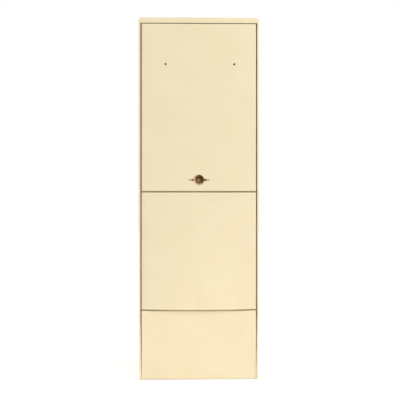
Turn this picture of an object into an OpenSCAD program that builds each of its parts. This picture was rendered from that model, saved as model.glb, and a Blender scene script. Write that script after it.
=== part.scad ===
// Roadside utility cabinet of moulded polyester: a shell with its roof, a base below it, a top-hung
// door with a lock at the bottom, two drop-in front panels, and the service equipment inside.
// Front faces -Y, up is +Z, and the origin is the middle of the footprint on the ground.

/* [Cabinet] */
// Overall width
cabinet_w = 350; // [340:2:420]
// Overall depth, the bow of the lower panel included
cabinet_d = 230; // [220:5:300]
// Overall height
cabinet_h = 1056; // [1036:2:1200]
// Thickness of the moulded walls
wall = 4.5; // [3.5:0.5:5.5]
// Width of the rim beside the front panels
rim_w = 5; // [5:0.5:9]
// Radius of the rear upright corners
corner_r = 12; // [9:1:20]
// Height of the roof lip over the door
roof_lip_h = 18; // [16:1:30]
// Fall of the roof from front to back
roof_fall = 10; // [4:1:12]
// Radius of the roof's front and side edges
roof_r = 10; // [3:0.5:11]

/* [Base] */
// Height of the base
base_h = 201; // [170:1:240]
// Inward lean of each base side from top to bottom
base_lean = 3; // [0:0.5:3]
// Width of the foot flange
foot_w = 34; // [28:1:40]
// Thickness of the foot flange
foot_t = 6; // [5:0.5:10]
// Diameter of the anchor holes
anchor_d = 12; // [9:1:14]

/* [Front panels] */
// Height of the door
door_h = 488; // [460:2:520]
// Gap beside the front panels
side_gap = 3.2; // [2.8:0.1:4]
// Gap between door, lower panel and base cover
joint_gap = 3; // [2:0.5:4]
// Gap between door and roof lip
lip_gap = 2; // [1.5:0.5:4]
// Thickness of the front panels
skin = 4; // [3:0.5:5]
// Depth of their turned-back edges
return_d = 20; // [18:1:26]
// Rounding of their front edges
edge_r = 3; // [1.5:0.5:4]
// Bow of the lower panel at the middle of its bottom edge
bow = 13; // [1:0.5:14]
// Spacing of the two sign holes
sign_span = 200; // [120:10:240]
// Drop of the sign holes below the door's top edge
sign_drop = 118; // [60:2:200]
// Diameter of the sign holes
sign_d = 6; // [4:0.5:8]
// Offset of the sign holes from the door's middle
sign_shift = 3; // [-10:1:10]

/* [Lock] */
// Height of the lock's axis over the door's bottom edge
lock_up = 33; // [32:1:45]
// Diameter of the lock's face
lock_face_d = 31; // [29:1:34]
// Diameter of the lock's barrel
lock_barrel_d = 27; // [24:1:28]
// Three-sided key post, across its corners
key_post_d = 13; // [10:1:14]
// Length of the groove across the lock
groove_l = 64; // [44:2:80]
// Height of the groove
groove_h = 5; // [3:0.5:8]
// Depth of the groove at its middle
groove_d = 8; // [3:0.5:9]
// Diameter of the two pits beside the lock, where a seal cap grips
pit_d = 6.5; // [4:0.5:7]

/* [Pivots] */
// Diameter of the door's pivot pins
pivot_d = 6; // [5:0.5:7]
// Diameter of the lock spindle
spindle_d = 10; // [8.5:0.5:11]
// Radial play of pivot pins and lock spindle
running_play = 0.1; // [0.05:0.01:0.1]

/* [Equipment] */
// Thickness of the mounting board
board_t = 5; // [4:0.5:8]
// Length of the pillars behind the board
pillar_l = 20; // [14:1:30]
// Gap between the board and each side wall
board_gap = 25.5; // [12:0.5:26]
// Spacing of the fuse poles
pole_pitch = 46; // [44:1:48]
// Height of the fuse base
fuse_base_h = 130; // [124:2:150]
// Diameter of the fuse links
link_d = 22; // [18:1:23]
// Length of the fuse links
link_l = 58; // [54:1:62]
// Spacing of the terminals
terminal_pitch = 56; // [48:1:58]
// Diameter of the terminal studs
stud_d = 10; // [8:1:12]
// Length of the earth bar
earth_l = 170; // [150:5:200]

/* [Hidden] */
$fn = 64;

ivory = "#f1e2be";
grey = "#b9bcbd";
zinc = "#c3c6c8";
brass = "#b98b52";
copper = "#c07a4e";
dark = "#3a3c3e";

back_y = cabinet_d / 2;
rim_y = bow - cabinet_d / 2;
open_half = cabinet_w / 2 - rim_w;
inner_half = cabinet_w / 2 - wall;
front_w = 2 * (open_half - side_gap);
rim_r = 2;

lip_z = cabinet_h - roof_lip_h;
lip_t = wall + 1;
door_z1 = lip_z - lip_gap;
door_z0 = door_z1 - door_h;
panel_z1 = door_z0 - joint_gap;
panel_z0 = base_h + joint_gap;
cover_z0 = 1;
cover_side_r = 1.2;
cover_w = min(front_w, cabinet_w - 2 * base_lean - 2 * rim_w - 0.8);

seat_gap = 2;
stop_w = 12;
stop_t = 4;
stop_y = rim_y + return_d + seat_gap;
stop_back_y = stop_y + stop_t;
stop_half = open_half - stop_w;

pivot_in = 5.5;
pivot_y = rim_y + pivot_in;
pivot_z = door_z1 - pivot_in;
pivot_sink = rim_w - 2;
pivot_hold = 16;

bow_slice = 0.4;

rib_t = 3;
rib_d = 8;
rib_x = front_w / 6;

seam = 0.8;

lug = 30;
lug_t = 6;
frame_bolt_d = 8;
frame_bolt_x = inner_half - lug / 2;
frame_bolt_ys = [stop_back_y + lug / 2, back_y - wall - lug / 2];

lock_z = door_z0 + lock_up;
lock_face_t = 1.5;
lock_boss_d = lock_face_d + 13;
lock_boss_t = max(skin + 4, groove_d + 2);
lock_nut_t = 5;
cup_end_y = rim_y + lock_boss_t + lock_nut_t + 5;
cup_floor_y = cup_end_y - 4;
key_recess_d = key_post_d + 5;
bowl_d = 10;
pit_x = max(lock_face_d / 2 - 0.6, lock_barrel_d / 2 + 1.2) + pit_d / 2;
groove_r = (groove_l * groove_l / 4 + groove_d * groove_d) / (2 * groove_d);

cam_w = 14;
cam_t = 3;
crossbar_t = 3;
crossbar_leg = 18;
crossbar_half = stop_half + 9;
crossbar_z0 = panel_z1 + 1;
crossbar_z1 = lock_z - cam_w / 2 - 6;
crossbar_mid_z = (crossbar_z0 + crossbar_t + crossbar_z1) / 2;
crossbar_screw_x = open_half - stop_w / 2;
cam_y = stop_back_y + crossbar_t + 0.8;
cam_l = lock_z - crossbar_z0 - crossbar_t - 3;
cam_square = 6.4;

upstand_half = stop_half - 2;
turn_screw_inset = 30;
turn_screw_x = upstand_half - turn_screw_inset;
turn_screw_d = 6;
tongue_x = front_w / 4;
tongue_w = 40;
tongue_l = 12;
tongue_y = rim_y + 9;
tab_w = 30;

board_back_y = back_y - wall - pillar_l;
board_y = board_back_y - board_t;
board_half = inner_half - board_gap;
board_rise = 90;
board_drop = 40;
board_z0 = base_h + board_rise;
board_z1 = lip_z - board_drop;
pillar_d = 16;
pillar_inset = 16;
pillar_x = board_half - pillar_inset;
pillar_zs = [board_z0 + 22, (board_z0 + board_z1) / 2, board_z1 - 22];
screw_d = 5;
screw_play = 0.1;
board_screw_bite = 12;

rail_drop = 80;
rail_inset = 30;
rail_z = board_z1 - rail_drop;
rail_half = board_half - rail_inset;
rail_t = 1.4;
rail_deep = 7.5;
rail_screw_inset = 35;
rail_screw_x = rail_half - rail_screw_inset;

fuse_rise = 162;
fuse_z = crossbar_z1 + fuse_rise;
fuse_base_w = 4 * pole_pitch + 10;
fuse_base_d = 44;
fuse_front_y = board_y - fuse_base_d;
ear_w = 16;
ear_h = 24;
ear_t = 7;
ear_x = fuse_base_w / 2 + ear_w / 2;
ear_z = fuse_base_h / 2 - ear_h / 2;
bay_w = pole_pitch - 5;
bay_room = 30;
bay_d = 34;
bay_h = link_l + bay_room;
bay_floor_y = fuse_front_y + bay_d;
fuse_screw_z = (fuse_base_h + bay_h) / 4;
fuse_screw_d = 9;
fuse_screw_sink = 7;
clip_t = 1.5;
clip_h = 12;
clip_z = link_l / 2 - 8;
clip_half = link_d / 2 + 0.3 + clip_t;
link_y = bay_floor_y - clip_t - 0.5 - link_d / 2;
carrier_w = bay_w - 1;
carrier_h = bay_h - 2;
carrier_y0 = fuse_front_y - 8;
carrier_y1 = link_y - link_d / 2 + 2;
grip_w = 16;
grip_h = 56;
grip_y = carrier_y0 - 20;
arm_t = 2.5;
arm_z = 9;

terminal_drop = 122;
terminal_z = panel_z1 - terminal_drop;
terminal_w = 4 * terminal_pitch + 4;
terminal_h = 64;
terminal_d = 20;
terminal_y = board_y - terminal_d;
terminal_ear_x = terminal_w / 2 + ear_w / 2;
plate_w = terminal_pitch - 20;
plate_h = 56;
plate_t = 5;
stud_z = 15;
stud_reach = 30;
stud_y = terminal_y - stud_reach;
divider_d = 26;
cover_t = 2;
cover_half = terminal_w / 2 + 0.3;
cover_y = stud_y - 8;

earth_z = board_z0 + 30;
earth_h = 20;
earth_t = 4;
post_d = 16;
post_l = 16;
post_x = earth_l / 2 - 15;
earth_y = board_y - post_l - earth_t;
earth_pitch = (2 * post_x - 30) / 4;

cable_rail_y = 4;
cable_rail_d = 20;
cable_rail_h = 30;
cable_rail_t = 2.5;
cable_rail_rise = 32;
cable_rail_play = 0.5;
cable_screw_inset = 9;
cable_rail_z = base_h + cable_rail_rise;
cable_rail_half = inner_half - cable_rail_play;
cable_screw_x = inner_half - cable_screw_inset;
ledge_w = 18;
ledge_h = 9;

function pole_x(i) = (i - 1.5) * pole_pitch;
function terminal_x(i) = (i - 1.5) * terminal_pitch;
function base_half(z) = cabinet_w / 2 - base_lean * (1 - z / base_h);
function roof_z(y) = cabinet_h - roof_fall * (y - rim_y - roof_r) / (back_y - rim_y - roof_r);

// The foot's centre line, where the anchor holes sit
anchor_x = base_half(0) - wall - foot_w / 2;
anchor_y0 = stop_y + foot_w / 2;
anchor_y1 = back_y - wall - foot_w / 2;

module block(low, high) {
    translate(low)
        cube(high - low);
}

module rod_x(d, x0, x1, y, z) {
    translate([x0, y, z])
        rotate([0, 90, 0])
            cylinder(d = d, h = x1 - x0);
}

module rod_y(d, y0, y1, x, z) {
    translate([x, y0, z])
        rotate([-90, 0, 0])
            cylinder(d = d, h = y1 - y0);
}

module rod_z(d, z0, z1, x, y) {
    translate([x, y, z0])
        cylinder(d = d, h = z1 - z0);
}

// A hole along Y for a screw of diameter d, cut past both of the faces given
module hole_y(d, y0, y1, x, z) {
    rod_y(d + 2 * screw_play, y0 - 1, y1 + 1, x, z);
}

module hex_y(d, y0, y1, x, z) {
    translate([x, y0, z])
        rotate([-90, 0, 0])
            cylinder(d = d, h = y1 - y0, $fn = 6);
}

// A (y, z) outline drawn out along X, centred
module along_x(length) {
    rotate([90, 0, 90])
        translate([0, 0, -length / 2])
            linear_extrude(length)
                children();
}

// An (x, z) outline drawn out along Y
module along_y(y0, y1) {
    translate([0, y1, 0])
        rotate([90, 0, 0])
            linear_extrude(y1 - y0)
                children();
}

// A plan with one radius at its two back corners and another at its two front corners
module plan(w, y0, y1, back_r, front_r) {
    translate([-w / 2, y0 + front_r])
        square([w, y1 - y0 - back_r - front_r]);
    translate([back_r - w / 2, y1 - 2 * back_r])
        square([w - 2 * back_r, 2 * back_r]);
    translate([front_r - w / 2, y0])
        square([w - 2 * front_r, 2 * front_r]);
    for (s = [-1, 1]) {
        translate([s * (w / 2 - back_r), y1 - back_r])
            circle(back_r);
        translate([s * (w / 2 - front_r), y0 + front_r])
            circle(front_r);
    }
}

// The roof seen from the side: round front edge, falling to the back
module roof_side() {
    polygon([
        [rim_y, base_h],
        [back_y, base_h],
        [back_y, roof_z(back_y)],
        [rim_y + roof_r, cabinet_h],
        [rim_y + roof_r, cabinet_h - roof_r],
        [rim_y, cabinet_h - roof_r]
    ]);
    translate([rim_y + roof_r, cabinet_h - roof_r])
        circle(roof_r);
}

// The shell seen from the front, with round top corners
module shell_front() {
    translate([-cabinet_w / 2, base_h])
        square([cabinet_w, cabinet_h - base_h - roof_r]);
    translate([roof_r - cabinet_w / 2, base_h])
        square([cabinet_w - 2 * roof_r, cabinet_h - base_h]);
    for (s = [-1, 1])
        translate([s * (cabinet_w / 2 - roof_r), cabinet_h - roof_r])
            circle(roof_r);
}

// Space inside the shell behind the stop flange, under the sloping roof
module shell_cavity() {
    y1 = back_y - wall;
    intersection() {
        translate([0, 0, base_h - 1])
            linear_extrude(cabinet_h - base_h)
                plan(2 * inner_half, stop_back_y, y1, corner_r - wall, 0.5);
        along_x(cabinet_w)
            polygon([
                [stop_back_y, base_h - 1],
                [y1, base_h - 1],
                [y1, roof_z(y1) - wall],
                [stop_back_y, roof_z(stop_back_y) - wall]
            ]);
    }
}

// Space between the roof lip and the top stop flange
module lip_pocket() {
    along_x(2 * open_half)
        polygon([
            [rim_y + lip_t, lip_z - 1],
            [stop_y, lip_z - 1],
            [stop_y, roof_z(stop_y) - wall],
            [rim_y + lip_t, roof_z(stop_y) - wall]
        ]);
}

module cabinet_shell() {
    color(ivory)
        difference() {
            union() {
                difference() {
                    intersection() {
                        translate([0, 0, base_h])
                            linear_extrude(cabinet_h - base_h)
                                plan(cabinet_w, rim_y, back_y, corner_r, rim_r);
                        along_x(cabinet_w)
                            roof_side();
                        along_y(rim_y, back_y)
                            shell_front();
                    }
                    block([-open_half, rim_y - 1, base_h - 1], [open_half, stop_y, lip_z]);
                    block([-stop_half, stop_y - 1, base_h - 1], [stop_half, stop_back_y + 1, lip_z - stop_w]);
                    lip_pocket();
                    shell_cavity();
                }
                for (s = [-1, 1]) {
                    for (z = pillar_zs)
                        rod_y(pillar_d, board_back_y, back_y - wall / 2, s * pillar_x, z);
                    for (y = frame_bolt_ys)
                        block(
                            [s * frame_bolt_x - lug / 2 - 1, y - lug / 2 - 1, base_h],
                            [s * frame_bolt_x + lug / 2 + 1, y + lug / 2 + 1, base_h + lug_t]
                        );
                    translate([s * (inner_half - ledge_w / 2 + 1), 0, 0])
                        block(
                            [-ledge_w / 2, cable_rail_y - 4, cable_rail_z - ledge_h],
                            [ledge_w / 2, cable_rail_y + cable_rail_d + 4, cable_rail_z]
                        );
                }
            }
            for (s = [-1, 1]) {
                for (z = pillar_zs)
                    rod_y(screw_d + 2 * screw_play, board_back_y - 1, board_back_y + 14, s * pillar_x, z);
                for (y = frame_bolt_ys)
                    rod_z(frame_bolt_d + 0.8, base_h - 1, base_h + lug_t + 1, s * frame_bolt_x, y);
                translate([s * (open_half - 0.5), 0, 0])
                    rod_x(
                        pivot_d + 2 * running_play, -pivot_sink - 0.5, pivot_sink + 0.5, pivot_y, pivot_z
                    );
                hole_y(screw_d, stop_y, stop_back_y, s * crossbar_screw_x, crossbar_mid_z);
                rod_z(
                    screw_d + 2 * screw_play, cable_rail_z - 7, cable_rail_z + 1,
                    s * cable_screw_x, cable_rail_y + cable_rail_d / 2
                );
            }
        }
}

// The base seen from the front, its sides leaning in; inset from the outside on each side
module base_front(inset, z0, z1) {
    polygon([
        [inset - base_half(z0), z0],
        [base_half(z0) - inset, z0],
        [base_half(z1) - inset, z1],
        [inset - base_half(z1), z1]
    ]);
}

module base_plinth() {
    top = base_h + 1;
    foot_half = base_half(0) - wall - foot_w;
    color(ivory)
        difference() {
            union() {
                difference() {
                    intersection() {
                        linear_extrude(base_h)
                            plan(cabinet_w, rim_y, back_y, corner_r, rim_r);
                        along_y(rim_y, back_y)
                            base_front(0, 0, base_h);
                    }
                    along_y(rim_y - 1, stop_y)
                        base_front(rim_w, -1, top);
                    along_y(stop_y - 1, stop_back_y + 1)
                        base_front(rim_w + stop_w, foot_t, top);
                    intersection() {
                        translate([0, 0, foot_t])
                            linear_extrude(base_h)
                                plan(2 * inner_half, stop_back_y, back_y - wall, corner_r - wall, 0.5);
                        along_y(rim_y, back_y)
                            base_front(wall, foot_t, top);
                    }
                    block([-foot_half, stop_y + foot_w, -1], [foot_half, back_y - wall - foot_w, foot_t + 1]);
                    translate([0, 0, base_h - seam])
                        linear_extrude(seam + 1)
                            difference() {
                                plan(cabinet_w + 2, rim_y - 1, back_y + 1, corner_r + 1, rim_r);
                                plan(
                                    cabinet_w - 2 * seam, rim_y + seam, back_y - seam, corner_r - seam, rim_r
                                );
                            }
                }
                for (s = [-1, 1])
                    for (y = frame_bolt_ys)
                        block(
                            [s * frame_bolt_x - lug / 2 - 1, y - lug / 2 - 1, base_h - lug_t],
                            [s * frame_bolt_x + lug / 2 + 1, y + lug / 2 + 1, base_h]
                        );
            }
            for (s = [-1, 1]) {
                for (y = frame_bolt_ys)
                    rod_z(frame_bolt_d + 0.8, base_h - lug_t - 1, top, s * frame_bolt_x, y);
                for (y = [anchor_y0, anchor_y1])
                    rod_z(anchor_d, -1, foot_t + 1, s * anchor_x, y);
            }
        }
}

// A flat slab whose four front edges are rounded
module soft_slab(w, z0, z1, depth, side_r) {
    h = z1 - z0;
    intersection() {
        translate([0, 0, z0])
            linear_extrude(h)
                plan(w, rim_y, rim_y + depth, 0.01, side_r);
        along_x(w) {
            translate([rim_y + edge_r, z0])
                square([depth - edge_r, h]);
            translate([rim_y, z0 + edge_r])
                square([depth, h - 2 * edge_r]);
            for (z = [z0 + edge_r, z1 - edge_r])
                translate([rim_y + edge_r, z])
                    circle(edge_r);
        }
    }
}

module base_cover() {
    color(ivory)
        difference() {
            union() {
                difference() {
                    soft_slab(cover_w, cover_z0, base_h, return_d, cover_side_r);
                    block(
                        [skin - cover_w / 2, rim_y + skin, 0],
                        [cover_w / 2 - skin, rim_y + return_d + 1, base_h - skin]
                    );
                }
                for (s = [-1, 1]) {
                    block(
                        [s * tongue_x - tab_w / 2, rim_y + skin - 1, foot_t],
                        [s * tongue_x + tab_w / 2, stop_y + 20, foot_t + 4]
                    );
                    block(
                        [s * rib_x - rib_t / 2, rim_y + skin - 1, cover_z0 + 8],
                        [s * rib_x + rib_t / 2, rim_y + skin + rib_d, base_h - 1]
                    );
                }
            }
            for (s = [-1, 1])
                block(
                    [s * tongue_x - tongue_w / 2 - 1, tongue_y - 0.5, base_h - skin - 1],
                    [s * tongue_x + tongue_w / 2 + 1, tongue_y + skin + 0.5, base_h + 1]
                );
        }
}

// How far the lower panel's face stands out at a point
function bow_at(x, z) = bow * max(0, 1 - pow(2 * x / front_w, 2))
    * min(1, (panel_z1 - z) / (panel_z1 - panel_z0 - edge_r));

// How far a face falls back at a distance from its rounded edge
function round_back(d, r) = d >= r ? 0 : r - sqrt(r * r - (r - d) * (r - d));

// Places across the lower panel's width where its profile is set, closer over the rounded edges
function bow_steps(half, r) = concat(
    r > 0 ? [bow_slice / 2 - half, 0.4 * r - half] : [],
    [for (i = [0:24]) (half - max(r, bow_slice / 2)) * (i / 12 - 1)],
    r > 0 ? [half - 0.4 * r, half - bow_slice / 2] : []
);

// Profile of the bowed face at one place: outer points, then the back corners
function bow_profile(x, half, z0, z1, shift, y1, r) =
    let (
        angles = r > 0 ? [0:30:90] : [90],
        y = rim_y + shift + round_back(half - abs(x), r),
        low = y - bow_at(x, z0 + r),
        high = y - bow_at(x, z1 - r)
    )
    concat(
        [for (a = angles) [low + r * (1 - sin(a)), z0 + r * (1 - cos(a))]],
        [for (a = angles) [high + r * (1 - cos(a)), z1 - r * (1 - sin(a))]],
        [[y1, z1], [y1, z0]]
    );

// A block with the lower panel's bowed face, its front edges rounded by r
module bowed_block(half, z0, z1, shift, y1, r) {
    xs = bow_steps(half, r);
    for (i = [0:len(xs) - 2])
        hull()
            for (x = [xs[i], xs[i + 1]])
                translate([x, 0, 0])
                    along_x(bow_slice)
                        polygon(bow_profile(x, half, z0, z1, shift, y1, r));
}

module lower_panel() {
    half = front_w / 2;
    color(ivory)
        difference() {
            union() {
                difference() {
                    bowed_block(half, panel_z0, panel_z1, 0, rim_y + return_d, edge_r);
                    difference() {
                        bowed_block(
                            half - skin, panel_z0 + skin, panel_z1 - skin, skin, rim_y + return_d + 1, 0
                        );
                        for (s = [-1, 1])
                            block(
                                [s * rib_x - rib_t / 2, rim_y - bow, panel_z0],
                                [s * rib_x + rib_t / 2, rim_y + skin + rib_d, panel_z1]
                            );
                    }
                }
                block(
                    [-upstand_half, rim_y + return_d - 1, panel_z1 - skin],
                    [upstand_half, stop_back_y, panel_z1]
                );
                block(
                    [-upstand_half, stop_y, panel_z1 - skin],
                    [upstand_half, stop_back_y, crossbar_z1 - 1]
                );
                for (s = [-1, 1])
                    block(
                        [s * tongue_x - tongue_w / 2, tongue_y, panel_z0 - tongue_l],
                        [s * tongue_x + tongue_w / 2, tongue_y + skin, panel_z0 + skin]
                    );
            }
            for (s = [-1, 1])
                hole_y(turn_screw_d, stop_y, stop_back_y, s * turn_screw_x, crossbar_mid_z);
        }
}

module door() {
    half = front_w / 2;
    color(ivory)
        difference() {
            union() {
                difference() {
                    soft_slab(front_w, door_z0, door_z1, return_d, edge_r);
                    block(
                        [skin - half, rim_y + skin, door_z0 + skin],
                        [half - skin, rim_y + return_d + 1, door_z1 - skin]
                    );
                }
                rod_y(lock_boss_d, rim_y + skin - 1, rim_y + lock_boss_t, 0, lock_z);
                block(
                    [-groove_l / 2, rim_y + skin - 1, lock_z - groove_h / 2 - skin],
                    [groove_l / 2, rim_y + lock_boss_t, lock_z + groove_h / 2 + skin]
                );
                for (s = [-1, 1]) {
                    block(
                        [s * rib_x - rib_t / 2, rim_y + skin - 1, door_z0 + 1],
                        [s * rib_x + rib_t / 2, rim_y + skin + rib_d, door_z1 - 1]
                    );
                    translate([s * (half - pivot_hold / 2 - 1), 0, 0])
                        rod_x(2 * pivot_in - 0.2, -pivot_hold / 2, pivot_hold / 2, pivot_y, pivot_z);
                }
                for (k = [1, 2])
                    block(
                        [1 - half, rim_y + skin - 1, door_z0 + k * door_h / 3 - rib_t / 2],
                        [half - 1, rim_y + skin + rib_d, door_z0 + k * door_h / 3 + rib_t / 2]
                    );
            }
            rod_y(lock_barrel_d + 0.4, rim_y - 1, rim_y + lock_boss_t + 1, 0, lock_z);
            rod_y(lock_face_d + 0.4, rim_y - 1, rim_y + lock_face_t, 0, lock_z);
            translate([0, rim_y + groove_d - groove_r, lock_z - groove_h / 2])
                cylinder(r = groove_r, h = groove_h, $fn = 180);
            for (s = [-1, 1]) {
                rod_y(pit_d, rim_y - 1, rim_y + lock_boss_t - 1.2, s * pit_x, lock_z);
                rod_y(
                    sign_d, rim_y - 1, rim_y + return_d, sign_shift + s * sign_span / 2, door_z1 - sign_drop
                );
                translate([s * (half + 1 - pivot_hold / 2), 0, 0])
                    rod_x(
                        pivot_d + 2 * screw_play, -pivot_hold / 2, pivot_hold / 2, pivot_y, pivot_z
                    );
            }
        }
}

module door_pivot_pins() {
    inner_end = front_w / 2 - pivot_hold + 1;
    outer_end = open_half + pivot_sink - 0.5;
    color(dark)
        for (s = [-1, 1])
            translate([s * (inner_end + outer_end) / 2, 0, 0])
                rod_x(
                    pivot_d, (inner_end - outer_end) / 2, (outer_end - inner_end) / 2, pivot_y, pivot_z
                );
}

module crossbar() {
    y0 = stop_back_y;
    color(zinc)
        difference() {
            along_x(2 * crossbar_half)
                polygon([
                    [y0, crossbar_z0],
                    [y0 + crossbar_leg, crossbar_z0],
                    [y0 + crossbar_leg, crossbar_z0 + crossbar_t],
                    [y0 + crossbar_t, crossbar_z0 + crossbar_t],
                    [y0 + crossbar_t, crossbar_z1],
                    [y0, crossbar_z1]
                ]);
            for (s = [-1, 1]) {
                hole_y(screw_d, y0, y0 + crossbar_t, s * crossbar_screw_x, crossbar_mid_z);
                hole_y(turn_screw_d, y0, y0 + crossbar_t, s * turn_screw_x, crossbar_mid_z);
            }
        }
}

// A pan-head screw along Y: the head's seat is at y, the shank runs behind it
module screw_y(d, y, length, x, z) {
    rod_y(1.9 * d, y - 0.6 * d, y, x, z);
    rod_y(d, y - 0.1, y + length, x, z);
}

// Driven from behind, so that no head stands in the door's way
module crossbar_screws() {
    seat_y = stop_back_y + crossbar_t;
    color(zinc)
        for (s = [-1, 1]) {
            rod_y(1.9 * screw_d, seat_y, seat_y + 0.6 * screw_d, s * crossbar_screw_x, crossbar_mid_z);
            rod_y(screw_d, stop_y + 0.5, seat_y + 0.1, s * crossbar_screw_x, crossbar_mid_z);
        }
}

module panel_turn_screws() {
    head_t = 0.7 * seat_gap;
    color(zinc)
        for (s = [-1, 1])
            difference() {
                union() {
                    rod_y(2 * turn_screw_d, stop_y - head_t, stop_y, s * turn_screw_x, crossbar_mid_z);
                    rod_y(
                        turn_screw_d, stop_y - 0.1, stop_back_y + crossbar_t + 5,
                        s * turn_screw_x, crossbar_mid_z
                    );
                    block(
                        [s * turn_screw_x - 9, stop_back_y + crossbar_t, crossbar_mid_z - 2],
                        [s * turn_screw_x + 9, stop_back_y + crossbar_t + 3, crossbar_mid_z + 2]
                    );
                }
                block(
                    [s * turn_screw_x - 4.5, stop_y - seat_gap, crossbar_mid_z - 0.6],
                    [s * turn_screw_x + 4.5, stop_y - 0.5, crossbar_mid_z + 0.6]
                );
            }
}

// The lock's cup is turned: a chamfered flange, a barrel, and a bowl that narrows to the key recess
module lock_cup() {
    face_r = lock_face_d / 2;
    barrel_r = lock_barrel_d / 2;
    key_r = key_recess_d / 2;
    bore_r = spindle_d / 2 + running_play;
    length = cup_end_y - rim_y;
    depth = cup_floor_y - rim_y;
    color(brass)
        translate([0, rim_y, lock_z])
            rotate([-90, 0, 0])
                rotate_extrude()
                    polygon([
                        [face_r - 0.6, 0], [face_r, 0.6], [face_r, lock_face_t],
                        [barrel_r, lock_face_t], [barrel_r, length], [bore_r, length],
                        [bore_r, depth], [key_r - 1, depth], [key_r, depth - 1],
                        [key_r, bowl_d], [barrel_r - 0.9, 0.8], [barrel_r - 0.4, 0]
                    ]);
}

module lock_nut() {
    y0 = rim_y + lock_boss_t;
    color(zinc)
        difference() {
            hex_y(lock_barrel_d + 11, y0, y0 + lock_nut_t, 0, lock_z);
            rod_y(lock_barrel_d + 0.2, y0 - 1, y0 + lock_nut_t + 1, 0, lock_z);
        }
}

module lock_spindle() {
    collar_y = cup_floor_y - 0.3;
    color(brass)
        difference() {
            union() {
                translate([0, rim_y + 4, lock_z])
                    rotate([-90, 30, 0])
                        cylinder(d = key_post_d, h = collar_y - rim_y - 5, $fn = 3);
                rod_y(spindle_d + 5, collar_y - 2.5, collar_y, 0, lock_z);
                rod_y(spindle_d, collar_y - 1, cam_y, 0, lock_z);
                block(
                    [-cam_square / 2, cam_y - 1, lock_z - cam_square / 2],
                    [cam_square / 2, cam_y + cam_t - 0.2, lock_z + cam_square / 2]
                );
            }
            rod_y(4, cam_y - 9, cam_y + cam_t + 1, 0, lock_z);
        }
}

module spindle_clip() {
    y0 = cup_end_y + 0.3;
    color(zinc)
        difference() {
            rod_y(spindle_d + 6, y0, y0 + 1.2, 0, lock_z);
            rod_y(spindle_d, y0 - 1, y0 + 3, 0, lock_z);
        }
}

// The cam at rest points sideways, unlocked; turned down it catches behind the crossbar
module lock_cam() {
    hub = cam_w / 2 + 2;
    color(zinc)
        along_y(cam_y, cam_y + cam_t)
            translate([0, lock_z])
                difference() {
                    union() {
                        circle(hub);
                        translate([0, -cam_w / 2])
                            square([cam_l - cam_w / 2, cam_w]);
                        translate([cam_l - cam_w / 2, 0])
                            circle(cam_w / 2);
                    }
                    square(cam_square + 0.2, center = true);
                }
}

module cam_screw() {
    y0 = cam_y + cam_t;
    color(zinc)
        difference() {
            union() {
                rod_y(13, y0, y0 + 1.5, 0, lock_z);
                rod_y(8, y0, y0 + 4.5, 0, lock_z);
                rod_y(3.9, y0 - 10, y0 + 1, 0, lock_z);
            }
            hex_y(4.6, y0 + 2, y0 + 5, 0, lock_z);
        }
}

module frame_bolts() {
    color(zinc)
        for (s = [-1, 1])
            for (y = frame_bolt_ys) {
                rod_z(frame_bolt_d, base_h - lug_t - 10, base_h + lug_t + 1, s * frame_bolt_x, y);
                translate([s * frame_bolt_x, y, base_h + lug_t])
                    cylinder(d = 1.85 * frame_bolt_d, h = 0.66 * frame_bolt_d, $fn = 6);
            }
}

module frame_nuts() {
    nut_t = 0.8 * frame_bolt_d;
    color(zinc)
        for (s = [-1, 1])
            for (y = frame_bolt_ys)
                difference() {
                    translate([s * frame_bolt_x, y, base_h - lug_t - nut_t])
                        cylinder(d = 1.85 * frame_bolt_d, h = nut_t, $fn = 6);
                    rod_z(
                        frame_bolt_d + 2 * screw_play, base_h - lug_t - nut_t - 1, base_h, s * frame_bolt_x, y
                    );
                }
}

module mounting_board() {
    color(grey)
        difference() {
            block([-board_half, board_y, board_z0], [board_half, board_back_y, board_z1]);
            for (s = [-1, 1]) {
                for (z = pillar_zs)
                    hole_y(screw_d, board_y, board_back_y, s * pillar_x, z);
                rod_y(4.2, board_y - 1, board_back_y + 1, s * rail_screw_x, rail_z);
                for (t = [-1, 1])
                    hole_y(screw_d, board_y, board_back_y, s * ear_x, fuse_z + t * ear_z);
                hole_y(screw_d, board_y, board_back_y, s * terminal_ear_x, terminal_z);
            }
        }
}

module board_screws() {
    color(zinc)
        for (s = [-1, 1])
            for (z = pillar_zs)
                screw_y(screw_d, board_y, board_t + board_screw_bite, s * pillar_x, z);
}

module device_rail() {
    web = 12.5;
    lip = 17.5;
    front = board_y - rail_deep;
    color(zinc)
        difference() {
            along_x(2 * rail_half)
                polygon([
                    [board_y, rail_z - web],
                    [board_y, rail_z + web],
                    [front + rail_t, rail_z + web],
                    [front + rail_t, rail_z + lip],
                    [front, rail_z + lip],
                    [front, rail_z + web - rail_t],
                    [board_y - rail_t, rail_z + web - rail_t],
                    [board_y - rail_t, rail_z - web + rail_t],
                    [front, rail_z - web + rail_t],
                    [front, rail_z - lip],
                    [front + rail_t, rail_z - lip],
                    [front + rail_t, rail_z - web]
                ]);
            for (s = [-1, 1])
                rod_y(4.2, board_y - rail_deep, board_y + 1, s * rail_screw_x, rail_z);
        }
}

module device_rail_screws() {
    color(zinc)
        for (s = [-1, 1])
            screw_y(4, board_y - rail_t, board_t + rail_t + 3, s * rail_screw_x, rail_z);
}

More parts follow.
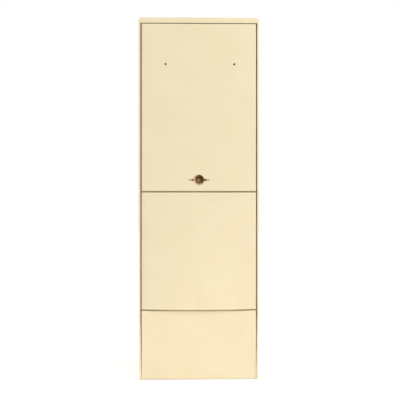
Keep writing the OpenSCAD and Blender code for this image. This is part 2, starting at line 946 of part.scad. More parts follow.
module fuse_base() {
    color(grey)
        difference() {
            union() {
                block(
                    [-fuse_base_w / 2, fuse_front_y, fuse_z - fuse_base_h / 2],
                    [fuse_base_w / 2, board_y, fuse_z + fuse_base_h / 2]
                );
                for (s = [-1, 1])
                    for (t = [-1, 1])
                        block(
                            [s * ear_x - ear_w / 2 - 0.5, board_y - ear_t, fuse_z + t * ear_z - ear_h / 2],
                            [s * ear_x + ear_w / 2 + 0.5, board_y, fuse_z + t * ear_z + ear_h / 2]
                        );
            }
            for (i = [0:3]) {
                block(
                    [pole_x(i) - bay_w / 2, fuse_front_y - 1, fuse_z - bay_h / 2],
                    [pole_x(i) + bay_w / 2, bay_floor_y, fuse_z + bay_h / 2]
                );
                for (t = [-1, 1])
                    rod_y(
                        fuse_screw_d + 3, fuse_front_y - 1, fuse_front_y + fuse_screw_sink, pole_x(i),
                        fuse_z + t * fuse_screw_z
                    );
            }
            for (s = [-1, 1])
                for (t = [-1, 1])
                    hole_y(screw_d, board_y - ear_t, board_y, s * ear_x, fuse_z + t * ear_z);
        }
}

module fuse_base_screws() {
    color(zinc)
        for (s = [-1, 1])
            for (t = [-1, 1])
                screw_y(screw_d, board_y - ear_t, ear_t + board_t + 3, s * ear_x, fuse_z + t * ear_z);
}

module fuse_terminal_screws() {
    y0 = fuse_front_y + fuse_screw_sink - 5;
    color(brass)
        for (i = [0:3])
            for (t = [-1, 1])
                difference() {
                    rod_y(fuse_screw_d, y0, y0 + 5, pole_x(i), fuse_z + t * fuse_screw_z);
                    block(
                        [pole_x(i) - fuse_screw_d, y0 - 1, fuse_z + t * fuse_screw_z - 0.7],
                        [pole_x(i) + fuse_screw_d, y0 + 1.5, fuse_z + t * fuse_screw_z + 0.7]
                    );
                }
}

module fuse_contacts() {
    color(copper)
        for (i = [0:3])
            for (t = [-1, 1])
                difference() {
                    block(
                        [pole_x(i) - clip_half, link_y - link_d / 4, fuse_z + t * clip_z - clip_h / 2],
                        [pole_x(i) + clip_half, bay_floor_y, fuse_z + t * clip_z + clip_h / 2]
                    );
                    block(
                        [pole_x(i) - clip_half + clip_t, link_y - link_d, fuse_z + t * clip_z - clip_h],
                        [pole_x(i) + clip_half - clip_t, bay_floor_y - clip_t, fuse_z + t * clip_z + clip_h]
                    );
                }
}

// Pull-out carrier of one pole: front block, grip with finger scoops, two arms that hold the link
module carrier(i, shade) {
    x = pole_x(i);
    arm_x = link_d / 2 + 0.1;
    color(shade)
        difference() {
            union() {
                block(
                    [x - carrier_w / 2, carrier_y0, fuse_z - carrier_h / 2],
                    [x + carrier_w / 2, carrier_y1, fuse_z + carrier_h / 2]
                );
                difference() {
                    translate([x, 0, fuse_z])
                        along_y(grip_y, carrier_y0 + 1) {
                            square([grip_w, grip_h - grip_w], center = true);
                            for (t = [-1, 1])
                                translate([0, t * (grip_h - grip_w) / 2])
                                    circle(d = grip_w);
                        }
                    for (s = [-1, 1])
                        rod_z(20, fuse_z - 20, fuse_z + 20, x + s * (grip_w / 2 + 7), grip_y + 11);
                }
                for (s = [-1, 1])
                    translate([x + s * (arm_x + arm_t / 2), 0, 0])
                        block(
                            [-arm_t / 2, carrier_y1 - 1, fuse_z - arm_z],
                            [arm_t / 2, link_y + 5, fuse_z + arm_z]
                        );
            }
            rod_z(link_d + 0.2, fuse_z - carrier_h, fuse_z + carrier_h, x, link_y);
        }
}

module fuse_carrier_1() {
    carrier(0, dark);
}

module fuse_carrier_2() {
    carrier(1, dark);
}

module fuse_carrier_3() {
    carrier(2, dark);
}

module neutral_carrier() {
    carrier(3, "#2f5f9a");
}

// A link with its two end caps a little thicker than its body
module link(i, shade) {
    cap = 14;
    color(shade) {
        rod_z(link_d - 1, fuse_z - link_l / 2 + 1, fuse_z + link_l / 2 - 1, pole_x(i), link_y);
        rod_z(link_d, fuse_z - link_l / 2, fuse_z - link_l / 2 + cap, pole_x(i), link_y);
        rod_z(link_d, fuse_z + link_l / 2 - cap, fuse_z + link_l / 2, pole_x(i), link_y);
    }
}

module fuse_link_1() {
    link(0, "#e9e6df");
}

module fuse_link_2() {
    link(1, "#e9e6df");
}

module fuse_link_3() {
    link(2, "#e9e6df");
}

module neutral_link() {
    link(3, copper);
}

module terminal_base() {
    color(dark)
        difference() {
            union() {
                block(
                    [-terminal_w / 2, terminal_y, terminal_z - terminal_h / 2],
                    [terminal_w / 2, board_y, terminal_z + terminal_h / 2]
                );
                for (k = [-2:2])
                    block(
                        [k * terminal_pitch - 2, terminal_y - divider_d, terminal_z - terminal_h / 2],
                        [k * terminal_pitch + 2, terminal_y + 1, terminal_z + terminal_h / 2]
                    );
                for (s = [-1, 1])
                    block(
                        [s * terminal_ear_x - ear_w / 2 - 0.5, board_y - ear_t, terminal_z - ear_h / 2],
                        [s * terminal_ear_x + ear_w / 2 + 0.5, board_y, terminal_z + ear_h / 2]
                    );
            }
            for (i = [0:3])
                for (t = [-1, 1])
                    rod_y(
                        stud_d + 2 * screw_play, terminal_y - 1, terminal_y + 10, terminal_x(i),
                        terminal_z + t * stud_z
                    );
            for (s = [-1, 1])
                hole_y(screw_d, board_y - ear_t, board_y, s * terminal_ear_x, terminal_z);
        }
}

module terminal_base_screws() {
    color(zinc)
        for (s = [-1, 1])
            screw_y(screw_d, board_y - ear_t, ear_t + board_t + 3, s * terminal_ear_x, terminal_z);
}

module terminal_plates() {
    color(copper)
        for (i = [0:3])
            difference() {
                block(
                    [terminal_x(i) - plate_w / 2, terminal_y - plate_t, terminal_z - plate_h / 2],
                    [terminal_x(i) + plate_w / 2, terminal_y, terminal_z + plate_h / 2]
                );
                for (t = [-1, 1])
                    hole_y(stud_d, terminal_y - plate_t, terminal_y, terminal_x(i), terminal_z + t * stud_z);
            }
}

module terminal_studs() {
    color(zinc)
        for (i = [0:3])
            for (t = [-1, 1])
                rod_y(stud_d, stud_y, terminal_y + 10, terminal_x(i), terminal_z + t * stud_z);
}

module terminal_nuts() {
    nut_t = 0.8 * stud_d;
    y1 = terminal_y - plate_t;
    color(brass)
        for (i = [0:3])
            for (t = [-1, 1])
                difference() {
                    hex_y(1.95 * stud_d, y1 - nut_t, y1, terminal_x(i), terminal_z + t * stud_z);
                    hole_y(stud_d, y1 - nut_t, y1, terminal_x(i), terminal_z + t * stud_z);
                }
}

// A clear channel, open above and below, that grips the sides of the terminal base
module terminal_cover() {
    z0 = terminal_z - terminal_h / 2 - 10;
    z1 = terminal_z + terminal_h / 2 + 10;
    color("#cfe3ea", 0.4)
        difference() {
            block([-cover_half - cover_t, cover_y, z0], [cover_half + cover_t, board_y - ear_t - 1, z1]);
            block([-cover_half, cover_y + cover_t, z0 - 1], [cover_half, board_y, z1 + 1]);
        }
}

module earth_posts() {
    color(dark)
        for (s = [-1, 1])
            difference() {
                rod_y(post_d, board_y - post_l, board_y, s * post_x, earth_z);
                rod_y(screw_d + 2 * screw_play, board_y - post_l - 1, board_y - 3, s * post_x, earth_z);
            }
}

module earth_bar() {
    color(copper)
        difference() {
            block(
                [-earth_l / 2, earth_y, earth_z - earth_h / 2],
                [earth_l / 2, earth_y + earth_t, earth_z + earth_h / 2]
            );
            for (s = [-1, 1])
                hole_y(screw_d, earth_y, earth_y + earth_t, s * post_x, earth_z);
            for (k = [-2:2])
                hole_y(screw_d, earth_y, earth_y + earth_t, k * earth_pitch, earth_z);
        }
}

module earth_screws() {
    color(zinc) {
        for (s = [-1, 1])
            screw_y(screw_d, earth_y, earth_t + post_l - 4, s * post_x, earth_z);
        for (k = [-2:2])
            screw_y(screw_d, earth_y, earth_t + 6, k * earth_pitch, earth_z);
    }
}

// A slotted channel across the shell, open to the front, for tying the cables to
module cable_rail() {
    y1 = cable_rail_y + cable_rail_d;
    z1 = cable_rail_z + cable_rail_h;
    color(zinc)
        difference() {
            along_x(2 * cable_rail_half)
                polygon([
                    [cable_rail_y, cable_rail_z],
                    [y1, cable_rail_z],
                    [y1, z1],
                    [cable_rail_y, z1],
                    [cable_rail_y, z1 - 8],
                    [cable_rail_y + cable_rail_t, z1 - 8],
                    [cable_rail_y + cable_rail_t, z1 - cable_rail_t],
                    [y1 - cable_rail_t, z1 - cable_rail_t],
                    [y1 - cable_rail_t, cable_rail_z + cable_rail_t],
                    [cable_rail_y + cable_rail_t, cable_rail_z + cable_rail_t],
                    [cable_rail_y + cable_rail_t, cable_rail_z + 8],
                    [cable_rail_y, cable_rail_z + 8]
                ]);
            for (s = [-1, 1])
                rod_z(
                    screw_d + 2 * screw_play, cable_rail_z - 1, cable_rail_z + cable_rail_t + 1,
                    s * cable_screw_x, cable_rail_y + cable_rail_d / 2
                );
        }
}

module cable_rail_screws() {
    z0 = cable_rail_z + cable_rail_t;
    y = cable_rail_y + cable_rail_d / 2;
    color(zinc)
        for (s = [-1, 1]) {
            rod_z(1.9 * screw_d, z0, z0 + 0.6 * screw_d, s * cable_screw_x, y);
            rod_z(screw_d, z0 - cable_rail_t - 6, z0 + 0.1, s * cable_screw_x, y);
        }
}

cabinet_shell();
base_plinth();
base_cover();
lower_panel();
door();
door_pivot_pins();
crossbar();
crossbar_screws();
panel_turn_screws();
lock_cup();
lock_nut();
lock_spindle();
spindle_clip();
lock_cam();
cam_screw();
frame_bolts();
frame_nuts();
mounting_board();
board_screws();
device_rail();
device_rail_screws();
fuse_base();
fuse_base_screws();
fuse_terminal_screws();
fuse_contacts();
fuse_carrier_1();
fuse_carrier_2();
fuse_carrier_3();
neutral_carrier();
fuse_link_1();
fuse_link_2();
fuse_link_3();
neutral_link();
terminal_base();
terminal_base_screws();
terminal_plates();
terminal_studs();
terminal_nuts();
terminal_cover();
earth_posts();
earth_bar();
earth_screws();
cable_rail();
cable_rail_screws();
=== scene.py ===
import bmesh
import bpy
import numpy as np
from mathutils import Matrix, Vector


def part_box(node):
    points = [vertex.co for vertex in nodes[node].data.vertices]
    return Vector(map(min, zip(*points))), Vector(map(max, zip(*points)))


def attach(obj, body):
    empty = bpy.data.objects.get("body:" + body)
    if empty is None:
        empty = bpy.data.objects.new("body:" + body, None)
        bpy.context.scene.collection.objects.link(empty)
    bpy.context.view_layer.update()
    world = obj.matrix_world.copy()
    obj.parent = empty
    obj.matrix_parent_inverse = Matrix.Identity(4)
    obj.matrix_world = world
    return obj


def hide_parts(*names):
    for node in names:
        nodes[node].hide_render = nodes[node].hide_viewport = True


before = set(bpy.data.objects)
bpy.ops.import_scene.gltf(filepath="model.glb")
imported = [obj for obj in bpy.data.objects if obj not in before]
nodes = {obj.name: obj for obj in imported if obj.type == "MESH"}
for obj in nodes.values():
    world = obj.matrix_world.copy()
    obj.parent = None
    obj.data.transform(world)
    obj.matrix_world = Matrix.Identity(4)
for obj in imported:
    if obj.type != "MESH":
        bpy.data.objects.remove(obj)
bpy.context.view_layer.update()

scene = bpy.context.scene
mm = 0.001
print("frame loaded:", len(nodes), "nodes")


def linearColour(hexText):  # sRGB hex to the linear rgba that the sockets take
    parts = np.array([int(hexText[i:i + 2], 16) for i in (1, 3, 5)]) / 255
    low = parts / 12.92
    high = ((parts + 0.055) / 1.055) ** 2.4
    return (*np.where(parts <= 0.04045, low, high), 1.0)


def perMetre(sizeMm):  # pattern scale for a detail of this size, on coordinates in metres
    return 1 / (sizeMm * mm)


def fillRamp(elements, stops):  # colour ramp from (position, hex) pairs
    while len(elements) < len(stops):
        elements.new(0.5)
    for element, (at, hexText) in zip(elements, stops):
        element.position = at
        element.color = linearColour(hexText)


def addNode(tree, kind, settings=None, links=None):
    node = tree.nodes.new(kind)
    for key, value in (settings or {}).items():
        if key == "stops":
            fillRamp(node.color_ramp.elements, value)
        elif isinstance(key, int) or key in node.inputs:
            node.inputs[key].default_value = value
        else:
            setattr(node, key, value)
    for key, socket in (links or {}).items():
        tree.links.new(socket, node.inputs[key])
    return node


def startMaterial(name, surface):
    material = bpy.data.materials.new(name)
    material.use_nodes = True
    tree = material.node_tree
    tree.nodes.clear()
    shader = addNode(tree, "ShaderNodeBsdfPrincipled", surface)
    addNode(tree, "ShaderNodeOutputMaterial", None, {"Surface": shader.outputs["BSDF"]})
    place = addNode(tree, "ShaderNodeTexCoord").outputs["Object"]
    return material, tree, shader, place


def addGrain(tree, shader, place, grain):  # fine relief of noise on the whole surface
    noise = addNode(
        tree, "ShaderNodeTexNoise",
        {"Scale": perMetre(grain["sizeMm"]), "Detail": grain["detail"]}, {"Vector": place},
    )
    bump = addNode(
        tree, "ShaderNodeBump",
        {"Strength": grain["strength"], "Distance": grain["depthMm"] * mm}, {"Height": noise.outputs["Fac"]},
    )
    tree.links.new(bump.outputs["Normal"], shader.inputs["Normal"])


lockLow, lockHigh = (Vector(corner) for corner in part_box("lock_cup"))
lockMiddle = (lockLow + lockHigh) / 2
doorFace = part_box("door")[0][1]

polyesterLook = {
    "surface": {"IOR": 1.55}, "stops": [(0.25, "#eddcb6"), (0.50, "#efdfba"), (0.75, "#f1e2be")],
    "cloudMm": 90, "cloudDetail": 3.0, "fibreMm": 2.4, "fibreShare": 0.25, "roughness": (0.40, 0.50),
    "grain": {"sizeMm": 1.8, "detail": 1.0, "depthMm": 0.02, "strength": 0.5},
}
# painted shade: a darker tone in the groove beside the lock, where the groove would be shaded
paintedGrooveShade = {
    "tone": "#a89a78", "amount": 0.36, "reachMm": 36, "fadeMm": 6, "squash": 3.0, "depthMm": (0.2, 1.0),
}


def addPaintedGrooveShade(tree, place, colour, grooveShadeLook):
    # Painted shade in the groove beside the lock: a darker tone inside an oval about the lock's axis,
    # stronger with depth below the door's face
    squash = grooveShadeLook["squash"]
    about = addNode(
        tree, "ShaderNodeMapping",
        {"Location": (0, 0, -lockMiddle.z * squash), "Scale": (1, 0, squash)}, {"Vector": place},
    )
    reach = addNode(tree, "ShaderNodeVectorMath", {"operation": "LENGTH"}, {0: about.outputs["Vector"]})
    rim, fade = grooveShadeLook["reachMm"] * mm, grooveShadeLook["fadeMm"] * mm
    near = addNode(
        tree, "ShaderNodeMapRange",
        {"From Min": rim - fade, "From Max": rim, "To Min": grooveShadeLook["amount"], "To Max": 0.0},
        {"Value": reach.outputs["Value"]},
    )
    depth = addNode(tree, "ShaderNodeSeparateXYZ", None, {"Vector": place})
    shallow, deep = (doorFace + below * mm for below in grooveShadeLook["depthMm"])
    sunk = addNode(
        tree, "ShaderNodeMapRange",
        {"From Min": shallow, "From Max": deep}, {"Value": depth.outputs["Y"]},
    )
    amount = addNode(
        tree, "ShaderNodeMath",
        {"operation": "MULTIPLY"}, {0: near.outputs["Result"], 1: sunk.outputs["Result"]},
    )
    shadedTone = addNode(  # the colour sockets of this node are 6 and 7, and its colour comes out at 2
        tree, "ShaderNodeMix",
        {"data_type": "RGBA", 7: linearColour(grooveShadeLook["tone"])}, {0: amount.outputs[0], 6: colour},
    )
    return shadedTone.outputs[2]


def mouldedPolyester(name, look, grooveShadeLook=None):
    # Hot-pressed glass-fibre polyester, coloured right through: satin and faintly clouded by
    # the glass, with the press's fine orange peel, so its highlights are broad and a little grainy
    material, tree, shader, place = startMaterial(name, look["surface"])
    cloud = addNode(
        tree, "ShaderNodeTexNoise",
        {"Scale": perMetre(look["cloudMm"]), "Detail": look["cloudDetail"]}, {"Vector": place},
    )
    fibre = addNode(tree, "ShaderNodeTexNoise", {"Scale": perMetre(look["fibreMm"])}, {"Vector": place})
    share = look["fibreShare"]
    flecks = addNode(  # fibre noise about its middle
        tree, "ShaderNodeMath",
        {"operation": "MULTIPLY_ADD", 1: share, 2: -share / 2}, {0: fibre.outputs["Fac"]},
    )
    mixed = addNode(
        tree, "ShaderNodeMath", {"operation": "ADD"}, {0: flecks.outputs[0], 1: cloud.outputs["Fac"]},
    )
    tint = addNode(tree, "ShaderNodeValToRGB", {"stops": look["stops"]}, {"Fac": mixed.outputs[0]})
    colour = tint.outputs["Color"]
    # painted shade in the groove beside the lock, on the door's finish only
    if grooveShadeLook:
        colour = addPaintedGrooveShade(tree, place, colour, grooveShadeLook)
    tree.links.new(colour, shader.inputs["Base Color"])
    low, high = look["roughness"]
    gloss = addNode(
        tree, "ShaderNodeMapRange", {"To Min": low, "To Max": high}, {"Value": cloud.outputs["Fac"]},
    )
    tree.links.new(gloss.outputs["Result"], shader.inputs["Roughness"])
    addGrain(tree, shader, place, look["grain"])
    return material


laminateLook = {
    "surface": {"IOR": 1.5, "Roughness": 0.52}, "stops": [(0.30, "#83878a"), (0.70, "#969a9c")],
    "fibreMm": 9, "fibreDetail": 5.0, "fibreRoughness": 0.65, "stretch": 0.12,
    "grain": {"sizeMm": 0.9, "detail": 2.0, "depthMm": 0.03, "strength": 0.4},
}


def pressedLaminate(look):
    # Grey pressed laminate board: flat, half matt, with the sheet's long faint fibres across it
    material, tree, shader, place = startMaterial("pressed_laminate", look["surface"])
    drawn = addNode(tree, "ShaderNodeMapping", {"Scale": (look["stretch"], 1.0, 1.0)}, {"Vector": place})
    alongFibre = drawn.outputs["Vector"]
    fibre = addNode(
        tree, "ShaderNodeTexNoise",
        {
            "Scale": perMetre(look["fibreMm"]), "Detail": look["fibreDetail"],
            "Roughness": look["fibreRoughness"],
        },
        {"Vector": alongFibre},
    )
    tint = addNode(tree, "ShaderNodeValToRGB", {"stops": look["stops"]}, {"Fac": fibre.outputs["Fac"]})
    tree.links.new(tint.outputs["Color"], shader.inputs["Base Color"])
    addGrain(tree, shader, alongFibre, look["grain"])
    return material


patchyLooks = {  # roughness runs from the darkest patches to the palest
    # Filled phenolic moulding: near black and dull, with a fine speckle and the mould's even grain
    "black_phenolic": {
        "surface": {"IOR": 1.53}, "stops": [(0.35, "#1d1d1f"), (0.68, "#2b2b2d")],
        "patchMm": 1.3, "patchDetail": 4.0, "roughness": (0.32, 0.46),
        "grain": {"sizeMm": 0.8, "detail": 2.0, "depthMm": 0.02, "strength": 0.5},
    },
    # Filled thermoset moulding: mid grey, duller still, with a slightly coarser speckle
    "grey_thermoset": {
        "surface": {"IOR": 1.53}, "stops": [(0.35, "#73787b"), (0.68, "#82878a")],
        "patchMm": 1.6, "patchDetail": 4.0, "roughness": (0.42, 0.55),
        "grain": {"sizeMm": 0.9, "detail": 2.0, "depthMm": 0.02, "strength": 0.5},
    },
    # Moulded polyamide: strong blue, faintly mottled, with a soft sheen
    "blue_polyamide": {
        "surface": {"IOR": 1.53}, "stops": [(0.35, "#27589c"), (0.68, "#2f66ad")],
        "patchMm": 3.0, "patchDetail": 4.0, "roughness": (0.38, 0.50),
        "grain": {"sizeMm": 0.7, "detail": 2.0, "depthMm": 0.02, "strength": 0.5},
    },
    # Zinc-plated steel: bright and cool, with warm traces of its passivation and dulling from hands
    "zinc_plated_steel": {
        "surface": {"Metallic": 1.0}, "stops": [(0.30, "#b9bdc0"), (0.55, "#c9cbca"), (0.75, "#d2cfc2")],
        "patchMm": 6, "patchDetail": 5.0, "roughness": (0.38, 0.24),
        "grain": {"sizeMm": 0.5, "detail": 2.0, "depthMm": 0.01, "strength": 0.5},
    },
    # Nickelled brass: a pale warm silver, the glossiest of these metals
    "nickelled_brass": {
        "surface": {"Metallic": 1.0}, "stops": [(0.30, "#cbc6b6"), (0.70, "#dcd8ca")],
        "patchMm": 9, "patchDetail": 5.0, "roughness": (0.30, 0.16),
        "grain": {"sizeMm": 0.7, "detail": 2.0, "depthMm": 0.006, "strength": 0.5},
    },
    # Machined brass: golden, with a fine tool grain, and darker where it was handled
    "machined_brass": {
        "surface": {"Metallic": 1.0}, "stops": [(0.30, "#b88a3c"), (0.55, "#cda152"), (0.75, "#d8b066")],
        "patchMm": 8, "patchDetail": 5.0, "roughness": (0.36, 0.22),
        "grain": {"sizeMm": 0.5, "detail": 2.0, "depthMm": 0.012, "strength": 0.5},
    },
    # Rolled copper: reddish brown, dulled in wide patches
    "rolled_copper": {
        "surface": {"Metallic": 1.0}, "stops": [(0.30, "#9b5a38"), (0.55, "#b97149"), (0.75, "#c98258")],
        "patchMm": 16, "patchDetail": 5.0, "roughness": (0.42, 0.26),
        "grain": {"sizeMm": 0.8, "detail": 2.0, "depthMm": 0.012, "strength": 0.5},
    },
    # Fired steatite: off-white, dense and smooth, with an even low sheen and scattered shallow pits
    "fired_steatite": {
        "surface": {"IOR": 1.56, "Roughness": 0.34}, "stops": [(0.30, "#ddd9cd"), (0.70, "#ece9df")],
        "patchMm": 12, "patchDetail": 4.0,
        "grain": {"sizeMm": 1.1, "detail": 2.0, "depthMm": 0.02, "strength": 0.4},
    },
}


def patchyFinish(name, look):
    # Soft patches carry the colour and, where the look gives a range, the roughness too
    material, tree, shader, place = startMaterial(name, look["surface"])
    patch = addNode(
        tree, "ShaderNodeTexNoise",
        {"Scale": perMetre(look["patchMm"]), "Detail": look["patchDetail"]}, {"Vector": place},
    )
    tint = addNode(tree, "ShaderNodeValToRGB", {"stops": look["stops"]}, {"Fac": patch.outputs["Fac"]})
    tree.links.new(tint.outputs["Color"], shader.inputs["Base Color"])
    if "roughness" in look:
        dark, pale = look["roughness"]
        gloss = addNode(
            tree, "ShaderNodeMapRange", {"To Min": dark, "To Max": pale}, {"Value": patch.outputs["Fac"]},
        )
        tree.links.new(gloss.outputs["Result"], shader.inputs["Roughness"])
    addGrain(tree, shader, place, look["grain"])
    return material


bronzeLooks = {  # metallic and roughness run from the tarnish to the bare metal; the lean is painted shade that darkens the lock's upper right
    "cast_bronze": {
        "stops": [(0.22, "#553818"), (0.50, "#b08a58"), (0.74, "#e8cca0")],
        "tarnishMm": 3, "tarnishDetail": 4.0, "tarnishRange": (0.3, 0.7), "lean": 0.28,
        "Metallic": (0.30, 0.10), "Roughness": (0.60, 0.36),
        "grain": {"sizeMm": 0.7, "detail": 2.0, "depthMm": 0.03, "strength": 0.5},
    },
    "turned_bronze": {
        "stops": [(0.22, "#482e16"), (0.50, "#735432"), (0.78, "#b8966a")],
        "tarnishMm": 3, "tarnishDetail": 4.0, "tarnishRange": (0.3, 0.7), "lean": 0.18,
        "Metallic": (0.30, 0.60), "Roughness": (0.50, 0.30),
        "grain": {"sizeMm": 0.5, "detail": 2.0, "depthMm": 0.03, "strength": 0.5},
    },
}


def weatheredBronzeWithShade(name, look):
    # Bronze that has stood outdoors: dull brown tarnish in patches, barer metal between them, and the fine
    # grain that the casting or the lathe left; over them, painted shade darkens the colour towards the lock's
    # upper right and lightens it towards its lower left
    material, tree, shader, place = startMaterial(name, {})
    patch = addNode(
        tree, "ShaderNodeTexNoise",
        {"Scale": perMetre(look["tarnishMm"]), "Detail": look["tarnishDetail"]}, {"Vector": place},
    )
    about = addNode(tree, "ShaderNodeMapping", {"Location": -lockMiddle}, {"Vector": place})
    # painted shade: the colour darkens towards the lock's upper right and lightens towards its lower left, as
    # a light from the upper right would shade the bowl
    slope = look["lean"] * np.sqrt(2) / (lockHigh.x - lockLow.x)
    upperRightShade = addNode(
        tree, "ShaderNodeVectorMath",
        {"operation": "DOT_PRODUCT", 1: (-slope, 0, -slope)}, {0: about.outputs["Vector"]},
    )
    barenessAndShade = addNode(
        tree, "ShaderNodeMath", {"operation": "ADD"}, {0: patch.outputs["Fac"], 1: upperRightShade.outputs["Value"]},
    ).outputs[0]
    tint = addNode(tree, "ShaderNodeValToRGB", {"stops": look["stops"]}, {"Fac": barenessAndShade})
    tree.links.new(tint.outputs["Color"], shader.inputs["Base Color"])
    tarnished, bare = look["tarnishRange"]
    for socket in ("Metallic", "Roughness"):
        low, high = look[socket]
        level = addNode(
            tree, "ShaderNodeMapRange",
            {"From Min": tarnished, "From Max": bare, "To Min": low, "To Max": high}, {"Value": barenessAndShade},
        )
        tree.links.new(level.outputs["Result"], shader.inputs[socket])
    addGrain(tree, shader, place, look["grain"])
    return material


zincDipLook = {
    "surface": {"Metallic": 1.0}, "stops": [(0.0, "#a2a8ab"), (0.5, "#b3b9bb"), (1.0, "#c3c8c9")],
    "spangleMm": 8, "raggedMm": 4, "raggedShiftMm": 2.8, "roughness": (0.34, 0.52),
}


def galvanisedSheet(look):
    # Hot-dip galvanised sheet: grey zinc frozen into crystals of a few millimetres with ragged
    # edges, each of its own brightness and gloss
    material, tree, shader, place = startMaterial("galvanised_sheet", look["surface"])
    ragged = addNode(tree, "ShaderNodeTexNoise", {"Scale": perMetre(look["raggedMm"])}, {"Vector": place})
    shift = addNode(
        tree, "ShaderNodeVectorMath",
        {"operation": "SCALE", "Scale": look["raggedShiftMm"] * mm}, {0: ragged.outputs["Color"]},
    )
    bent = addNode(tree, "ShaderNodeVectorMath", {"operation": "ADD"}, {0: place, 1: shift.outputs[0]})
    spangle = addNode(
        tree, "ShaderNodeTexVoronoi", {"Scale": perMetre(look["spangleMm"])}, {"Vector": bent.outputs[0]},
    )
    shade = addNode(tree, "ShaderNodeSeparateColor", None, {"Color": spangle.outputs["Color"]})
    tint = addNode(tree, "ShaderNodeValToRGB", {"stops": look["stops"]}, {"Fac": shade.outputs["Red"]})
    tree.links.new(tint.outputs["Color"], shader.inputs["Base Color"])
    low, high = look["roughness"]
    gloss = addNode(
        tree, "ShaderNodeMapRange", {"To Min": low, "To Max": high}, {"Value": shade.outputs["Green"]},
    )
    tree.links.new(gloss.outputs["Result"], shader.inputs["Roughness"])
    return material


clearLook = {
    "surface": {"IOR": 1.585, "Transmission Weight": 1.0, "Base Color": linearColour("#eef4f2")},
    "smearMm": 30, "smearDetail": 3.0, "smearRange": (0.4, 0.75), "roughness": (0.03, 0.10),
}


def clearPolycarbonate(look):
    # Folded clear polycarbonate sheet: see-through and glossy, with faint smears that dull it in places
    material, tree, shader, place = startMaterial("clear_polycarbonate", look["surface"])
    smear = addNode(
        tree, "ShaderNodeTexNoise",
        {"Scale": perMetre(look["smearMm"]), "Detail": look["smearDetail"]}, {"Vector": place},
    )
    clean, smeared = look["smearRange"]
    low, high = look["roughness"]
    gloss = addNode(
        tree, "ShaderNodeMapRange",
        {"From Min": clean, "From Max": smeared, "To Min": low, "To Max": high},
        {"Value": smear.outputs["Fac"]},
    )
    tree.links.new(gloss.outputs["Result"], shader.inputs["Roughness"])
    return material


finishes = {
    "polyester": mouldedPolyester("moulded_polyester", polyesterLook),
    "doorPolyester": mouldedPolyester("moulded_polyester_door", polyesterLook, paintedGrooveShade),
    "laminate": pressedLaminate(laminateLook),
    "galvanised": galvanisedSheet(zincDipLook),
    "clear": clearPolycarbonate(clearLook),
    **{name: patchyFinish(name, look) for name, look in patchyLooks.items()},
    **{name: weatheredBronzeWithShade(name, look) for name, look in bronzeLooks.items()},
}

nodeFinishes = {
    "polyester": ["cabinet_shell", "base_plinth", "base_cover", "lower_panel"],
    "doorPolyester": ["door"],
    "laminate": ["mounting_board"],
    "galvanised": ["crossbar", "device_rail", "cable_rail"],
    "cast_bronze": ["lock_cup"],
    "turned_bronze": ["lock_spindle"],
    "zinc_plated_steel": [
        "crossbar_screws", "panel_turn_screws", "lock_nut", "spindle_clip", "lock_cam", "cam_screw",
        "frame_bolts", "frame_nuts", "board_screws", "device_rail_screws", "fuse_base_screws",
        "terminal_base_screws", "terminal_studs", "earth_screws", "cable_rail_screws",
    ],
    "black_phenolic": [
        "door_pivot_pins", "fuse_carrier_1", "fuse_carrier_2", "fuse_carrier_3",
        "terminal_base", "earth_posts",
    ],
    "grey_thermoset": ["fuse_base"],
    "blue_polyamide": ["neutral_carrier"],
    "fired_steatite": ["fuse_link_1", "fuse_link_2", "fuse_link_3"],
    "nickelled_brass": ["neutral_link"],
    "machined_brass": ["fuse_terminal_screws", "terminal_nuts"],
    "rolled_copper": ["fuse_contacts", "terminal_plates", "earth_bar"],
    "clear": ["terminal_cover"],
}
for finish, names in nodeFinishes.items():
    for name in names:
        nodes[name].data.materials.clear()
        nodes[name].data.materials.append(finishes[finish])
unfinished = sorted(set(nodes) - {name for names in nodeFinishes.values() for name in names})
print("finishes made:", len(finishes), "- nodes without one:", unfinished)

mergeMm = 0.002  # points nearer than this are one point


def mergePoints(mesh, turnOutwards):
    work = bmesh.new()
    work.from_mesh(mesh)
    bmesh.ops.remove_doubles(work, verts=work.verts, dist=mergeMm * mm)
    if turnOutwards:
        bmesh.ops.recalc_face_normals(work, faces=work.faces)
    work.to_mesh(mesh)
    work.free()


def addPiece(name, mesh, body, replaced, sharpDeg):
    # A piece shaded smooth up to edges of sharpDeg, which rides on its body and stands for a CAD node or none
    mesh.polygons.foreach_set("use_smooth", np.ones(len(mesh.polygons), dtype=bool))
    mesh.set_sharp_from_angle(angle=np.radians(sharpDeg))
    piece = bpy.data.objects.new(name, mesh)
    scene.collection.objects.link(piece)
    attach(piece, body)
    if replaced:
        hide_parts(replaced)
    print(name, "made:", len(mesh.polygons), "faces")


def layGrids(name, grids, finish, body, replaced, sharpDeg):
    # Each grid is an array (copies, around, along, 3) in millimetres whose second axis runs right round.
    # Quads join neighbours on the grid; doubled points at the poles and seams are merged.
    points, quads, start = [], [], 0
    for grid in grids:
        copies, around, along, _ = grid.shape
        ids = start + np.arange(copies * around * along).reshape(copies, around, along)
        nextRound = np.roll(ids, -1, axis=1)
        corners = [ids[:, :, :-1], ids[:, :, 1:], nextRound[:, :, 1:], nextRound[:, :, :-1]]
        quads.append(np.stack(corners, axis=-1).reshape(-1, 4))
        points.append(grid.reshape(-1, 3))
        start += copies * around * along
    points, quads = np.concatenate(points) * mm, np.concatenate(quads)
    mesh = bpy.data.meshes.new(name)
    mesh.vertices.add(len(points))
    mesh.vertices.foreach_set("co", points.astype(np.float32).ravel())
    mesh.loops.add(quads.size)
    mesh.loops.foreach_set("vertex_index", quads.astype(np.int32).ravel())
    mesh.polygons.add(len(quads))
    mesh.polygons.foreach_set("loop_start", np.arange(0, quads.size, 4, dtype=np.int32))
    mesh.update(calc_edges=True)
    mergePoints(mesh, True)
    mesh.materials.append(finishes[finish])
    addPiece(name, mesh, body, replaced, sharpDeg)


